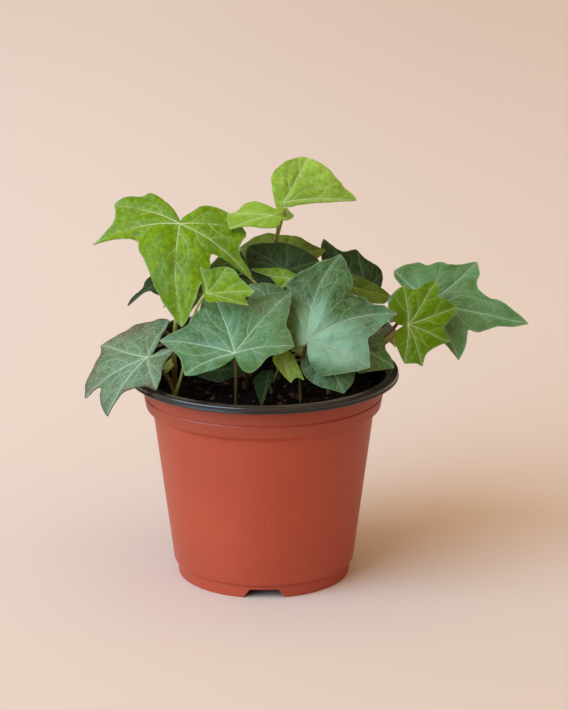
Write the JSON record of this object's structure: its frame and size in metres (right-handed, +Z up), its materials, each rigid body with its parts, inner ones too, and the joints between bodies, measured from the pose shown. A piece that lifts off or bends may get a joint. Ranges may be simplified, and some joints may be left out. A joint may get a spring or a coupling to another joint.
{
  "type": "potted ivy",
  "caption": "Young ivy with lobed, pale-veined leaves on thin stalks and twining stems, growing in a tapered round plastic grower's pot filled with soil.",
  "frame": {"origin": "on the ground under the middle of the plant's outer box", "axes": "+Z up, -Y towards the viewer of the picture, +X to that viewer's right; the pot's axis stands at x = -19.8 mm, y = -7 mm"},
  "size_m": [0.1968, 0.1341, 0.1837],
  "materials": {
    "pot_plastic": "satin",
    "potting_soil": "matte",
    "stem": "satin",
    "leaf_dark": "satin",
    "leaf_bright": "satin",
    "leaf_young": "gloss",
    "leaf_grey": "satin",
    "leaf_shade": "satin"
  },
  "bodies": {
    "root": {"leaf_back_bright": "leaf_bright", "leaf_back_corner": "leaf_dark", "leaf_back_low_left": "leaf_dark", "leaf_back_low_middle": "leaf_dark", "leaf_back_low_right": "leaf_grey", "leaf_back_middle": "leaf_dark", "leaf_back_olive": "leaf_shade", "leaf_back_right": "leaf_shade", "leaf_back_upper": "leaf_dark", "leaf_back_young": "leaf_bright", "leaf_behind_bright": "leaf_dark", "leaf_crown_back_dark": "leaf_shade", "leaf_crown_front_dark": "leaf_shade", "leaf_crown_left": "leaf_young", "leaf_crown_small": "leaf_bright", "leaf_crown_top": "leaf_young", "leaf_front_left": "leaf_dark", "leaf_front_right": "leaf_dark", "leaf_left_back_small": "leaf_shade", "leaf_left_bright": "leaf_bright", "leaf_left_low": "leaf_grey", "leaf_low_hanging": "leaf_dark", "leaf_low_shaded": "leaf_dark", "leaf_low_yellow": "leaf_young", "leaf_middle_back": "leaf_dark", "leaf_middle_right": "leaf_dark", "leaf_middle_teal": "leaf_dark", "leaf_right_bright": "leaf_bright", "leaf_right_far": "leaf_dark", "leaf_right_under": "leaf_dark", "leaf_side_left": "leaf_grey", "leaf_side_right": "leaf_dark", "leaf_small_folded": "leaf_young", "leaf_under_right": "leaf_dark", "pot": "pot_plastic", "soil": "potting_soil", "stem_back_left": "stem", "stem_back_right": "stem", "stem_crown": "stem", "stem_front": "stem", "stem_left": "stem", "stem_left_low": "stem", "stem_middle": "stem", "stem_right": "stem"}
  },
  "joints": []
}
